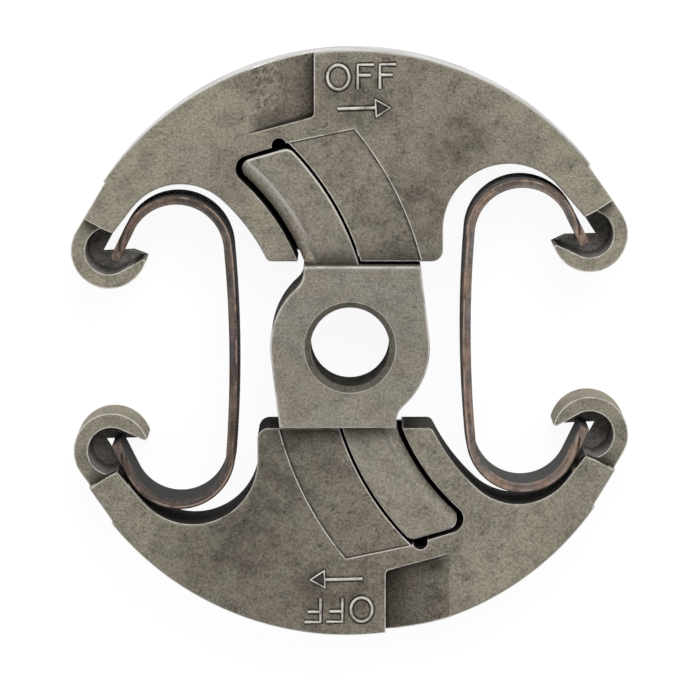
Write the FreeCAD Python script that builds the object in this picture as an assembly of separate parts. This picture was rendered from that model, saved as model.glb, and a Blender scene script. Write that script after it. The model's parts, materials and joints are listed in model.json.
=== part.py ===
"""Two-shoe centrifugal clutch of a chainsaw, lying on its back, in millimetres.

Z is the bore axis, z = 0 is the back, and the marked faces look up. The hub screws onto
the engine shaft. Its two curved arms guide two identical shoes, and two strip springs,
hooked from shoe to shoe, pull the shoes in against the hub. The model shows the clutch at
rest. The lower shoe and the right spring are the upper shoe and the left spring turned
half round the bore axis.
"""
import FreeCAD, Part
import math
import os

Vector = FreeCAD.Vector
UP = Vector(0, 0, 1)
AXIS = Vector(0, 0, 0)

# Friction rims
rim_radius = 35.0             # the drum's radius, reached by the rims at full travel
shoe_height = 10.5
shoe_travel = 1.05
slide_angle = 20.0            # direction of travel, turned from +Y towards -X
rim_nick = 0.25               # small step in where the rim stops, before each hook
rim_end_lead = 12.2           # degrees from the end of the rim to the middle of the hook
edge_break = 0.2              # small chamfer round the faces of the pressed pieces

# Hub block and bore
bore_diameter = 9.1           # minor diameter of the shaft thread
bore_chamfer = 0.7
recess_diameter = 11.2        # round the bore in the back, for the shoulder of the shaft
recess_depth = 3.6
boss_radius = 9.2
block_height = 13.0
flat_stand = 0.15             # the flats that stop the shoes stand this far outside the boss
block_edge_break = 0.3
shoulder_angle = 7.0          # lean of the straight flank beside each flat
neck_drop = 0.67              # straight side of the neck, from the flat to the fillet
neck_fillet = 2.5

# Guide arms, curved about a point on -X (upper arm) or +X (lower arm)
arm_radius = 29.45            # middle line of the arm
arm_thickness = 5.9
arm_offset = 0.55             # bore axis to the arm's middle line, towards the guide centre
arm_end_angle = 48.0          # degrees about the guide centre, at the middle of the arm
arm_end_lean = 32.0           # lean of the end face from the radial line
arm_tip_radius = 1.2
arm_bevel_width = 1.6         # sloped inner side of the arm's face
arm_bevel_depth = 1.6

# Slot that takes the arm
guide_gap = 0.33              # running gap on the driving side of the arm
bevel_side_gap = 0.65         # wider gap on the bevelled side, for the straight travel
slot_end_gap = 0.6
slot_corner_radius = 1.6
relief_radius = 0.85          # round relief in the slot's outer corner
relief_land = 0.25            # end wall left between the relief and the corner
seat_gap = 0.35               # shoe foot to hub flat at rest
foot_corner_radius = 1.3
finger_corner_radius = 0.8

# Hooks at the two ends of a shoe. Places in a hook are given from the ring's centre,
# first outwards from the rim's centre and then along the rim, away from the shoe.
left_hook_angle = 22.5        # degrees up from -X
right_hook_angle = 26.5       # degrees up from +X
ring_radius = 4.4
cup_radius = 2.75
cup_floor = 1.5
hook_step = 2.2               # drop from the shoe's face to the face of the ring
step_corner = (0.35, -2.15)
step_lean = 6.0
notch_corner = (0.7, 1.0)     # inner corner of the gap in the cup's floor
tip_corner = (-2.6, -0.55)
tip_drop = 0.6                # end of the ring, before the line through its centre
tip_land = 0.35               # width of the blunt end of the ring's wall

# Strip springs
spring_thickness = 1.1
spring_width = 8.2
spring_bow = 0.5              # how far the back of the C bulges towards the hub
spring_lift = 0.1             # running gap above the cup's floor
bend_radius = 6.6             # outside of the bend
bend_gap = 1.27               # ring centre to the outside of the bend, towards the hub
spring_end_inset = 1.0        # ring centre to the end of the strip, towards the rim's centre
spring_end_gap = 1.05         # left under the strip's end when the shoe is fully out

# Round cut-outs that clear the springs
left_cutout_margin = 0.45
left_cutout_shift = Vector(0.55, 0.83)
right_cutout_margin = 0.95
right_cutout_shift = Vector(-1.6, 0.75)

# Pad beside the slot and ramp pocket at the rim
pad_width = 6.7
pad_recess = 0.15
pad_lean = 11.8               # slope of the pad's outer edge
pocket_length = 7.5           # from the flush end of the ramp to the wall
pocket_wall = 4.5             # rim centre to the wall, towards -X
pocket_depth = 2.8
pocket_inset = 7.6            # rim to the pocket's inner wall, measured at the deep end
pocket_lean = 15.0
pocket_corner_radius = 0.6

# Places worked out from the driving dimensions
travel_direction = Vector(-math.sin(math.radians(slide_angle)), math.cos(math.radians(slide_angle)))
rim_centre = travel_direction * -shoe_travel
guide_centre = Vector(-arm_radius - arm_offset, 0)
arm_inner_radius = arm_radius - arm_thickness / 2
arm_outer_radius = arm_radius + arm_thickness / 2
slot_inner_radius = arm_inner_radius - bevel_side_gap
slot_outer_radius = arm_outer_radius + guide_gap
block_half_width = boss_radius + flat_stand
foot_level = block_half_width + seat_gap
ring_face = shoe_height - hook_step


def polar(centre, radius, degrees):
    """Return the point at this radius and angle from +X about a centre."""
    angle = math.radians(degrees)
    return centre + Vector(math.cos(angle), math.sin(angle)) * radius


def angle_of(point, centre):
    """Return the angle in degrees from +X of a point seen from a centre."""
    offset = point - centre
    return math.degrees(math.atan2(offset.y, offset.x))


def arc(centre, radius, start, end):
    """Return an arc edge from one angle to another; a falling angle runs clockwise."""
    middle = (start + end) / 2
    points = [polar(centre, radius, angle) for angle in (start, middle, end)]
    return Part.Arc(*points).toShape()


def line(start, end):
    """Return a straight edge."""
    return Part.LineSegment(start, end).toShape()


def prism(edges, bottom, top):
    """Return the upright solid over a closed outline."""
    face = Part.Face(Part.Wire(edges))
    face.translate(Vector(0, 0, bottom))
    return face.extrude(Vector(0, 0, top - bottom))


def polygon(points):
    """Return the straight edges of a closed outline."""
    return [line(start, end) for start, end in zip(points, points[1:] + points[:1])]


def meet(point, direction, centre, radius):
    """Return where a line leaves a circle, following its direction."""
    offset = point - centre
    along = offset.dot(direction)
    root = math.sqrt(along * along - offset.dot(offset) + radius * radius)
    return point + direction * (root - along)


def tangent_angle(point, centre, radius, side):
    """Return the angle on a circle where the tangent from a point touches it.

    side is +1 for the touching point anticlockwise of the point, and -1 for the other.
    """
    spread = math.degrees(math.acos(radius / (point - centre).Length))
    return angle_of(point, centre) + side * spread


def unwrap(angle, near):
    """Return the angle moved by whole turns to lie within half a turn of another."""
    return angle + 360 * round((near - angle) / 360)


def edges_at(solid, heights):
    """Return the edges that lie flat at one of these heights."""
    found = []
    for edge in solid.Edges:
        box = edge.BoundBox
        if any(abs(box.ZMin - z) < 1e-6 and abs(box.ZMax - z) < 1e-6 for z in heights):
            found.append(edge)
    return found


def upright_edge_near(solid, point):
    """Return the upright edge that stands nearest to a point of the plan."""
    def distance(edge):
        return math.hypot(edge.BoundBox.Center.x - point.x, edge.BoundBox.Center.y - point.y)
    upright = [edge for edge in solid.Edges if edge.BoundBox.ZLength > edge.BoundBox.DiagonalLength * 0.99]
    return min(upright, key=distance)


def half_turn(shape):
    """Return a copy turned half round the bore axis."""
    copy = shape.copy()
    copy.rotate(AXIS, UP, 180)
    return copy


class Hook:
    """Places in the hook at one end of the upper shoe; side is +1 left and -1 right."""

    def __init__(self, degrees_up, side):
        self.side = side
        self.bearing = 90 + side * (90 - degrees_up)
        self.rim_end = self.bearing - side * rim_end_lead
        self.outwards = polar(AXIS, 1, self.bearing)
        self.along = polar(AXIS, 1, self.bearing + side * 90)
        self.centre = rim_centre + self.outwards * (rim_radius - ring_radius)
        tip_out = -math.sqrt(ring_radius ** 2 - tip_drop ** 2)
        self.tip = self.at((tip_out, -tip_drop))
        self.tip_land = self.at((tip_out + tip_land, -tip_drop))
        self.tip_corner = self.at(tip_corner)
        self.notch = self.at(notch_corner)
        self.step = self.at(step_corner)
        lean = math.radians(step_lean)
        self.step_direction = self.outwards * math.cos(lean) - self.along * math.sin(lean)
        self.seat = self.at((-spring_end_inset, cup_radius - shoe_travel - spring_end_gap))
        self.bend_centre = self.centre + Vector(side * (bend_gap + bend_radius), 0)

    def at(self, place):
        """Return the plan point of a place given from the ring's centre."""
        return self.centre + self.outwards * place[0] + self.along * place[1]

    def nick(self):
        """Return the inner corner of the small step at the end of the rim."""
        return polar(rim_centre, rim_radius - rim_nick, self.rim_end)

    def ring_start(self, nick):
        """Return where the straight back of the hook runs smoothly into the ring."""
        return polar(self.centre, ring_radius, tangent_angle(nick, self.centre, ring_radius, self.side))

    def sweep(self, radius, start_point, end_point):
        """Return the arc about the ring's centre that goes round its far side."""
        far = self.bearing + self.side * 90
        start = unwrap(angle_of(start_point, self.centre), far)
        end = unwrap(angle_of(end_point, self.centre), far)
        return arc(self.centre, radius, start, end)

    def beyond_step(self):
        """Return the outline of the ring's side of the step, well past the ring."""
        reach = 3 * ring_radius
        outer = self.step + self.step_direction * reach
        inner = self.step - self.step_direction * reach
        away = self.along * reach
        return polygon([inner, outer, outer + away, inner + away])

    def cup(self):
        """Return the outline of the cup: round wall, straight lip and open inner side."""
        wall_start = meet(self.step, self.step_direction, self.centre, cup_radius)
        touch = tangent_angle(self.tip_land, self.centre, cup_radius, -self.side)
        wall_end = polar(self.centre, cup_radius, touch)
        clear = self.outwards * -ring_radius
        return [
            self.sweep(cup_radius, wall_start, wall_end),
            line(wall_end, self.tip_land),
            line(self.tip_land, self.tip_land + clear),
            line(self.tip_land + clear, self.step + clear * 2),
            line(self.step + clear * 2, wall_start),
        ]


left_hook = Hook(left_hook_angle, 1)
right_hook = Hook(right_hook_angle, -1)
left_cutout_centre = left_hook.bend_centre + left_cutout_shift
left_cutout_radius = bend_radius + left_cutout_margin
right_cutout_centre = right_hook.bend_centre + right_cutout_shift
right_cutout_radius = bend_radius + right_cutout_margin
right_cutout_side = polar(right_cutout_centre, right_cutout_radius, 180)
right_foot_corner = Vector(right_cutout_side.x, foot_level)
# The finger's back is curved with the slot and runs smoothly into the left cut-out.
finger_radius = (left_cutout_centre - guide_centre).Length + left_cutout_radius


def slot_corners():
    """Return the four corners of the slot: outer foot, outer end, inner end, inner foot."""
    end_angle = arm_end_angle + math.degrees(slot_end_gap / arm_radius)
    end_middle = polar(guide_centre, arm_radius, end_angle)
    end_direction = polar(AXIS, 1, end_angle - arm_end_lean)
    outer_end = meet(end_middle, end_direction, guide_centre, slot_outer_radius)
    inner_end = inner_crossing(end_middle, end_direction, slot_inner_radius)
    outer_foot = foot_point(slot_outer_radius)
    inner_foot = foot_point(slot_inner_radius)
    return outer_foot, outer_end, inner_end, inner_foot


def inner_crossing(point, direction, radius):
    """Return where a line, followed backwards, crosses a circle about the guide centre."""
    offset = point - guide_centre
    along = offset.dot(direction)
    gap = offset.dot(offset) - radius * radius
    return point - direction * (along - math.sqrt(along * along - gap))


def foot_point(radius):
    """Return where a circle about the guide centre meets the level of the shoe's feet."""
    return Vector(guide_centre.x + math.sqrt(radius ** 2 - foot_level ** 2), foot_level)


def shoe_outline():
    """Return the plan outline of the upper shoe, with its slot, cut-outs and hooks."""
    finger_start = angle_of(left_cutout_centre, guide_centre)
    finger_foot = foot_point(finger_radius)
    left_touch = tangent_angle(left_hook.step, left_cutout_centre, left_cutout_radius, -1)
    left_touch = unwrap(left_touch, 90)
    right_touch = tangent_angle(right_hook.step, right_cutout_centre, right_cutout_radius, 1)
    outer_foot, outer_end, inner_end, inner_foot = slot_corners()
    right_nick = right_hook.nick()
    left_nick = left_hook.nick()
    return [
        arc(rim_centre, rim_radius, right_hook.rim_end, left_hook.rim_end),
        line(polar(rim_centre, rim_radius, left_hook.rim_end), left_nick),
        line(left_nick, left_hook.ring_start(left_nick)),
        left_hook.sweep(ring_radius, left_hook.ring_start(left_nick), left_hook.tip),
        line(left_hook.tip, left_hook.tip_corner),
        line(left_hook.tip_corner, left_hook.notch),
        line(left_hook.notch, left_hook.step),
        line(left_hook.step, polar(left_cutout_centre, left_cutout_radius, left_touch)),
        arc(left_cutout_centre, left_cutout_radius, left_touch, finger_start),
        arc(guide_centre, finger_radius, finger_start, angle_of(finger_foot, guide_centre)),
        line(finger_foot, inner_foot),
        arc(guide_centre, slot_inner_radius, angle_of(inner_foot, guide_centre),
            angle_of(inner_end, guide_centre)),
        line(inner_end, outer_end),
        arc(guide_centre, slot_outer_radius, angle_of(outer_end, guide_centre),
            angle_of(outer_foot, guide_centre)),
        line(outer_foot, right_foot_corner),
        line(right_foot_corner, right_cutout_side),
        arc(right_cutout_centre, right_cutout_radius, 180, right_touch),
        line(polar(right_cutout_centre, right_cutout_radius, right_touch), right_hook.step),
        line(right_hook.step, right_hook.notch),
        line(right_hook.notch, right_hook.tip_corner),
        line(right_hook.tip_corner, right_hook.tip),
        right_hook.sweep(ring_radius, right_hook.tip, right_hook.ring_start(right_nick)),
        line(right_hook.ring_start(right_nick), right_nick),
        line(right_nick, polar(rim_centre, rim_radius, right_hook.rim_end)),
    ]


def ramp_pocket():
    """Return the tool that cuts the ramp pocket, open at the rim and deep at its wall."""
    wall = rim_centre.x - pocket_wall
    flush = wall - pocket_length
    top = rim_centre.y + rim_radius + pocket_inset
    slope = math.tan(math.radians(pocket_lean))
    deep_corner = Vector(wall, rim_centre.y + rim_radius - pocket_inset)
    flush_corner = Vector(flush, deep_corner.y - pocket_length * slope)
    plan = prism(polygon([flush_corner, deep_corner, Vector(wall, top), Vector(flush, top)]), 0, block_height)
    plan = plan.makeFillet(pocket_corner_radius, [upright_edge_near(plan, deep_corner)])
    section = [
        Vector(flush, flush_corner.y, shoe_height),
        Vector(wall, flush_corner.y, shoe_height - pocket_depth),
        Vector(wall, flush_corner.y, block_height),
        Vector(flush, flush_corner.y, block_height),
    ]
    ramp = Part.Face(Part.Wire(polygon(section))).extrude(Vector(0, top - flush_corner.y, 0))
    return plan.common(ramp)


def pad():
    """Return the tool that sinks the pad beside the slot, as wide as the slot itself."""
    outer_end = slot_corners()[1]
    pad_radius = slot_outer_radius + pad_width
    far_end = meet(outer_end, polar(AXIS, 1, pad_lean), guide_centre, pad_radius)
    inner_start = angle_of(outer_end, guide_centre)
    below = polar(guide_centre, slot_outer_radius - slot_end_gap, inner_start)
    low_near = Vector(foot_point(slot_outer_radius - slot_end_gap).x, foot_level)
    low_far = foot_point(pad_radius)
    drop = Vector(0, -slot_end_gap)
    outline = [
        line(outer_end, far_end),
        arc(guide_centre, pad_radius, angle_of(far_end, guide_centre), angle_of(low_far, guide_centre)),
        line(low_far, low_far + drop),
        line(low_far + drop, low_near + drop),
        line(low_near + drop, low_near),
        arc(guide_centre, slot_outer_radius - slot_end_gap, angle_of(low_near, guide_centre), inner_start),
        line(below, outer_end),
    ]
    return prism(outline, shoe_height - pad_recess, block_height)


def make_upper_shoe():
    """Return the upper shoe at rest, seated in towards the hub."""
    shoe = prism(shoe_outline(), 0, shoe_height)
    outer_foot, outer_end, inner_end, inner_foot = slot_corners()
    shoe = shoe.makeFillet(slot_corner_radius, [upright_edge_near(shoe, inner_end)])
    shoe = shoe.makeFillet(foot_corner_radius, [upright_edge_near(shoe, right_foot_corner)])
    shoe = shoe.makeFillet(finger_corner_radius, [upright_edge_near(shoe, foot_point(finger_radius))])
    end_direction = (inner_end - outer_end).normalize()
    relief = outer_end + end_direction * (relief_land + relief_radius)
    shoe = shoe.cut(Part.makeCylinder(relief_radius, shoe_height, relief))
    shoe = shoe.makeChamfer(edge_break, edges_at(shoe, (0, shoe_height)))
    for hook in (left_hook, right_hook):
        shoe = shoe.cut(prism(hook.beyond_step(), ring_face, block_height))
        shoe = shoe.cut(prism(hook.cup(), cup_floor, block_height))
    shoe = shoe.cut(ramp_pocket())
    return shoe.cut(pad())


def arm_solid():
    """Return the upper guide arm, rooted in the block, with its sloped inner side."""
    end_middle = polar(guide_centre, arm_radius, arm_end_angle)
    end_direction = polar(AXIS, 1, arm_end_angle - arm_end_lean)
    outer_end = meet(end_middle, end_direction, guide_centre, arm_outer_radius)
    inner_end = inner_crossing(end_middle, end_direction, arm_inner_radius)
    outer_root = Vector(guide_centre.x + arm_outer_radius, 0)
    inner_root = Vector(guide_centre.x + arm_inner_radius, 0)
    arm = prism([
        line(inner_root, outer_root),
        arc(guide_centre, arm_outer_radius, 0, angle_of(outer_end, guide_centre)),
        line(outer_end, inner_end),
        arc(guide_centre, arm_inner_radius, angle_of(inner_end, guide_centre), 0),
    ], 0, shoe_height)
    tips = [upright_edge_near(arm, corner) for corner in (inner_end, outer_end)]
    arm = arm.makeFillet(arm_tip_radius, tips)
    arm = arm.makeChamfer(edge_break, edges_at(arm, (0, shoe_height)))
    ridge = arm_inner_radius + arm_bevel_width
    slope = arm_bevel_depth / arm_bevel_width
    start = arm_inner_radius - arm_bevel_width
    section = [
        Vector(guide_centre.x + ridge + arm_bevel_width, 0, shoe_height + arm_bevel_depth),
        Vector(guide_centre.x + start, 0, shoe_height + arm_bevel_depth),
        Vector(guide_centre.x + start, 0, shoe_height - slope * (ridge - start)),
    ]
    bevel = Part.Face(Part.Wire(polygon(section))).revolve(guide_centre, UP, 90)
    return arm.cut(bevel)


def block_outline():
    """Return the outline of the block: round boss, two flats, flanks and necks."""
    neck_y = block_half_width - neck_drop
    neck_x = -math.sqrt((boss_radius + neck_fillet) ** 2 - neck_y ** 2)
    neck_centre = Vector(neck_x, neck_y)
    neck_angle = angle_of(neck_centre, AXIS)
    neck_top = Vector(neck_x + neck_fillet, neck_y)
    flank_start = polar(AXIS, boss_radius, shoulder_angle)
    flank = polar(AXIS, 1, 90 + shoulder_angle)
    flat_right = flank_start + flank * ((block_half_width - flank_start.y) / flank.y)
    flat_left = Vector(neck_top.x, block_half_width)
    half = [
        arc(AXIS, boss_radius, neck_angle - 180, shoulder_angle),
        line(flank_start, flat_right),
        line(flat_right, flat_left),
        line(flat_left, neck_top),
        arc(neck_centre, neck_fillet, 0, neck_angle - 180),
    ]
    return half + [half_turn(edge) for edge in half]


def make_hub():
    """Return the hub: block, threaded bore and two guide arms in one piece."""
    block = prism(block_outline(), 0, block_height)
    block = block.makeChamfer(block_edge_break, edges_at(block, (0, block_height)))
    arm = arm_solid()
    hub = block.fuse(arm).fuse(half_turn(arm)).removeSplitter()
    bore_radius = bore_diameter / 2
    hub = hub.cut(Part.makeCylinder(bore_radius, block_height))
    mouth = bore_radius + bore_chamfer
    lead = Part.makeCone(bore_radius, mouth, bore_chamfer, Vector(0, 0, block_height - bore_chamfer))
    recess = Part.makeCylinder(recess_diameter / 2, recess_depth)
    return hub.cut(lead).cut(recess)


def strip_path(offset):
    """Return the left spring's line from upper to lower end, offset outwards from its middle."""
    upper = left_hook
    lower_seat = right_hook.seat * -1
    lower_centre = right_hook.bend_centre * -1
    middle = bend_radius - spring_thickness / 2
    radius = middle + offset
    leg = angle_of(upper.bend_centre, lower_centre) - 90
    upper_touch = unwrap(tangent_angle(upper.seat, upper.bend_centre, middle, -1), 150)
    lower_touch = unwrap(tangent_angle(lower_seat, lower_centre, middle, 1), -150)
    upper_end = upper.seat + polar(AXIS, offset, upper_touch)
    lower_end = lower_seat + polar(AXIS, offset, lower_touch)
    half = (upper.bend_centre - lower_centre) * 0.5
    reach = (half.Length ** 2 + spring_bow ** 2) / (2 * spring_bow)
    back_centre = lower_centre + half - polar(AXIS, reach - spring_bow, leg)
    upper_turn = angle_of(upper.bend_centre, back_centre)
    lower_turn = angle_of(lower_centre, back_centre)
    return [
        line(upper_end, polar(upper.bend_centre, radius, upper_touch)),
        arc(upper.bend_centre, radius, upper_touch, upper_turn),
        arc(back_centre, reach + radius, upper_turn, lower_turn),
        arc(lower_centre, radius, lower_turn, lower_touch),
        line(polar(lower_centre, radius, lower_touch), lower_end),
    ]


def make_left_spring():
    """Return the left spring, a strip bent to a C with its ends in two cups."""
    outside = strip_path(spring_thickness / 2)
    inside = strip_path(-spring_thickness / 2)
    ends = [
        line(outside[0].Vertexes[0].Point, inside[0].Vertexes[0].Point),
        line(outside[-1].Vertexes[-1].Point, inside[-1].Vertexes[-1].Point),
    ]
    bottom = cup_floor + spring_lift
    edges = Part.__sortEdges__(outside + inside + ends)
    return prism(edges, bottom, bottom + spring_width)


def main():
    """Make the five pieces and write one file for each."""
    upper_shoe = make_upper_shoe()
    left_spring = make_left_spring()
    pieces = {
        "hub": make_hub(),
        "upper_shoe": upper_shoe,
        "lower_shoe": half_turn(upper_shoe),
        "left_spring": left_spring,
        "right_spring": half_turn(left_spring),
    }
    os.makedirs("parts", exist_ok=True)
    for name, shape in pieces.items():
        shape.exportStep(f"parts/{name}.step")
        print(name, shape.isValid(), len(shape.Solids), round(shape.Volume, 1))


main()
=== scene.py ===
# %% [markdown]
# The clutch of a chainsaw, dressed for its portrait
#
# A centrifugal clutch sits on the end of a chainsaw's engine shaft. When the engine races, two heavy
# shoes slide outwards along curved arms and grip a drum; when it idles, two C-shaped springs pull them
# home. The solids come from a CAD model, so this lesson only adds what CAD leaves out: the thread in the
# bore, the raised signs, the finishes of the steel, the light and the camera.

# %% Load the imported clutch
import json
import math

import bmesh
import bpy
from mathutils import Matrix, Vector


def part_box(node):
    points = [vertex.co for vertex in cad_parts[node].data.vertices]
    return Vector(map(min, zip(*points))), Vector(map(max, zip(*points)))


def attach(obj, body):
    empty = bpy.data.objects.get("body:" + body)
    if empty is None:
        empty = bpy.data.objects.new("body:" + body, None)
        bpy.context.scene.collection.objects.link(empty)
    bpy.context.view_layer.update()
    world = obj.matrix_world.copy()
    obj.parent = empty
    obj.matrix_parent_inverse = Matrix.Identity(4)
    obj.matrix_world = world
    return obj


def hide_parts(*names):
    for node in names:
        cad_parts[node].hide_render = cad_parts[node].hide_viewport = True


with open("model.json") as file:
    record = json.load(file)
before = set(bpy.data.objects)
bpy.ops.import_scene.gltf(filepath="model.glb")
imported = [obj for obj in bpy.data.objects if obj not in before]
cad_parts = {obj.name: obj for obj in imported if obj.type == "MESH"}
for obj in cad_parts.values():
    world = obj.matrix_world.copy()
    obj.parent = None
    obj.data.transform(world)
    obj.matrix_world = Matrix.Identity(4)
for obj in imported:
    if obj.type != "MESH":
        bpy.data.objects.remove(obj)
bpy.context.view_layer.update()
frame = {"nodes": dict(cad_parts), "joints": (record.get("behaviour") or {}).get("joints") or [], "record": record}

MM = 0.001
nodes = frame["nodes"]
scene = bpy.context.scene
print("pieces of the clutch:", ", ".join(sorted(nodes)))

# %% [markdown]
# Shader sums in plain Python
#
# A finish is a small network of nodes. Drawn by hand it soon becomes a tangle, so we wrap one output of
# a node in a class and give that class the usual signs: `grain * 0.2 + 0.4` then adds two Math nodes. The
# reflected forms let a bare number stand on the left, as in `1 - mask`, and they make Python's own sum()
# work on a list of masks. All other nodes come from one method, which sets a node's choices first
# because they decide which sockets it has.

# %% A wire from one node to the next
class Wire:
    """One output of a shader node. Sums of wires add Math nodes to the same tree."""

    def __init__(self, tree, socket):
        self.tree = tree
        self.socket = socket

    @staticmethod
    def node(tree, kind, settings, sockets, output=0):
        """Add a node, choose its settings, then give its sockets values or links; return one output."""
        made = tree.nodes.new(kind)
        for name, value in settings.items():
            setattr(made, name, value)
        for name, value in sockets.items():
            if isinstance(value, Wire):
                tree.links.new(value.socket, made.inputs[name])
            else:
                made.inputs[name].default_value = value
        return Wire(tree, made.outputs[output]) if made.outputs else None

    def sum(self, operation, first, second):
        """Add one Math node."""
        return Wire.node(self.tree, "ShaderNodeMath", {"operation": operation}, {0: first, 1: second})

    def __add__(self, other):
        return self.sum("ADD", self, other)

    __radd__ = __add__

    def __sub__(self, other):
        return self.sum("SUBTRACT", self, other)

    def __rsub__(self, other):
        return self.sum("SUBTRACT", other, self)

    def __mul__(self, other):
        return self.sum("MULTIPLY", self, other)

    __rmul__ = __mul__

    def __abs__(self):
        return self.sum("ABSOLUTE", self, 0.0)


print("shader sums ready: +, -, * and abs")

# %% [markdown]
# Where a point lies
#
# The grain of steel has a size, so we want to write places and patterns in millimetres. Object coordinates
# are in metres and move with the piece, which keeps the finish from sliding when a shoe travels. The lower
# shoe is the upper one turned half round, so its coordinates are turned too and one description fits both.

# %% Helpers for place and direction
def stretch(vector, factors):
    """Multiply a vector by three factors."""
    choices = {"operation": "MULTIPLY"}
    return Wire.node(vector.tree, "ShaderNodeVectorMath", choices, {0: vector, 1: factors})


def shift(vector, offset):
    """Move a vector by an offset."""
    return Wire.node(vector.tree, "ShaderNodeVectorMath", {"operation": "ADD"}, {0: vector, 1: offset})


def parts_of(vector):
    """Return the three parts of a vector as wires."""
    first = Wire.node(vector.tree, "ShaderNodeSeparateXYZ", {}, {0: vector})
    return [Wire(vector.tree, part) for part in first.socket.node.outputs]


def place(tree, turned):
    """Return the surface point in millimetres, turned half round for a turned piece."""
    point = Wire.node(tree, "ShaderNodeTexCoord", {}, {}, "Object")
    flip = -1.0 if turned else 1.0
    return stretch(point, (flip / MM, flip / MM, 1.0 / MM))


def facing(tree):
    """Return the piece's own outward direction as three wires."""
    return parts_of(Wire.node(tree, "ShaderNodeTexCoord", {}, {}, "Normal"))


def distance_from(point, centre):
    """Return how far a point lies from an upright axis through a centre."""
    flat_point = stretch(point, (1.0, 1.0, 0.0))
    measure = {"operation": "DISTANCE"}
    return Wire.node(point.tree, "ShaderNodeVectorMath", measure, {0: flat_point, 1: centre}, "Value")


print("places are written in millimetres, with", MM, "metre to each")

# %% [markdown]
# Masks, patterns and colours
#
# A mask is a number from 0 to 1 that says where a thing is, and most of them start as a distance or as a
# cloudy pattern. A hard step would leave jagged borders, so a mask rises smoothly between two values. With
# that, a finish reads like a painter's notes: coat this colour over that one where the mask is 1.

# %% Helpers for masks and colours
def mottle(point, size, detail=2.0, rough=0.55, seed=None):
    """Return a cloudy pattern from 0 to 1 with lumps about this many millimetres across.

    A seed shifts the pattern, so that two patterns of one finish don't fall together.
    """
    if seed:
        point = shift(point, seed)
    choices = {"Vector": point, "Scale": 1.0 / size, "Detail": detail, "Roughness": rough}
    return Wire.node(point.tree, "ShaderNodeTexNoise", {}, choices)


def rise(value, low, high):
    """Return 0 up to low, 1 from high, and a smooth rise between."""
    choices = {"Value": value, "From Min": low, "From Max": high}
    return Wire.node(value.tree, "ShaderNodeMapRange", {"interpolation_type": "SMOOTHSTEP"}, choices)


def band(value, low, high, soft):
    """Return 1 between two values and 0 outside, with soft ends."""
    return rise(value, low - soft, low + soft) * rise(value, high + soft, high - soft)


def coat(mask, under, over):
    """Lay one colour over another where the mask is 1."""
    return Wire.node(mask.tree, "ShaderNodeMix", {"data_type": "RGBA"}, {0: mask, 6: under, 7: over}, 2)


def dim(colour, amount):
    """Multiply a colour by a grey amount."""
    choices = {"data_type": "RGBA", "blend_type": "MULTIPLY"}
    return Wire.node(colour.tree, "ShaderNodeMix", choices, {0: 1.0, 6: colour, 7: amount}, 2)


def scaled(colour, level):
    """Return a colour that is the same all over, made lighter or darker by a number."""
    return tuple(level * part for part in colour[:3]) + (1.0,)


print("masks rise smoothly, and colours are laid over each other in coats")

# %% [markdown]
# Edges painted pale and corners painted dark
#
# Handling wears the outer edges of a steel part bright, and their chamfers catch the light, so we paint the
# edges pale. The corners get painted shade, where little light reaches. One could paint both by hand.
# Ambient occlusion finds them for us: asked from the outside it is dark in corners, and asked from the
# inside it is dark along outer edges, because there the steel is thin.

# %% Helpers for edges and corners
OCCLUSION_SAMPLES = 8
BEVEL_SAMPLES = 6


def closeness(tree, reach, inside):
    """Return how much surface stands within a reach, in millimetres: any in front, or its own inside."""
    choices = {"inside": inside, "only_local": inside, "samples": OCCLUSION_SAMPLES}
    return 1.0 - Wire.node(tree, "ShaderNodeAmbientOcclusion", choices, {"Distance": reach * MM}, "AO")


def rounded(tree, radius):
    """Return a surface direction that rounds off sharp edges by a radius in millimetres."""
    return Wire.node(tree, "ShaderNodeBevel", {"samples": BEVEL_SAMPLES}, {"Radius": radius * MM})


def relief(height, depth, under):
    """Turn a height from 0 to 1 into bumps this many millimetres deep on a surface direction."""
    choices = {"Height": height, "Strength": 1.0, "Distance": depth * MM, "Normal": under}
    return Wire.node(height.tree, "ShaderNodeBump", {}, choices)


print("corners and edges are found with", OCCLUSION_SAMPLES, "samples")

# %% [markdown]
# Open and close a material
#
# Each finish starts from an empty material, because the nodes that Blender puts in a new one would only
# be in the way. At the end one Principled shader takes the layers. What changes over the surface goes to
# its colour, roughness, metal and direction. The specular level is the same all over, so it is a plain
# number on the shader.

# %% Start and close a finish
SPECULAR_LEVEL = 0.15


def blank_finish(name):
    """Return an empty material and its tree."""
    material = bpy.data.materials.new(name)
    material.use_nodes = True
    material.node_tree.nodes.clear()
    return material, material.node_tree


def steel(name, tree, colour, roughness, metallic, direction):
    """Join the layers of a finish in one shader."""
    layers = {"Base Color": colour, "Roughness": roughness, "Metallic": metallic, "Normal": direction}
    layers["Specular IOR Level"] = SPECULAR_LEVEL
    surface = Wire.node(tree, "ShaderNodeBsdfPrincipled", {}, layers)
    Wire.node(tree, "ShaderNodeOutputMaterial", {}, {"Surface": surface})
    print("finish made:", name, "with", len(tree.nodes), "nodes")


print("each steel has a specular level of", SPECULAR_LEVEL)

# %% [markdown]
# Pressed and sintered steel
#
# The hub and the shoes are pressed from iron powder and baked until the grains join. The skin that is
# left is a dull grey brown, sandy to look at, with dark flecks and cloudy patches of oil. A photograph
# wrapped round the part would smear on its walls, so we build the skin from patterns of different size:
# clouds of a centimetre, patches of some millimetres, flecks under a millimetre, and sandy grain.

# %% The skin of pressed steel
MOSS_GREY = (0.200, 0.194, 0.150, 1.0)


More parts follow.
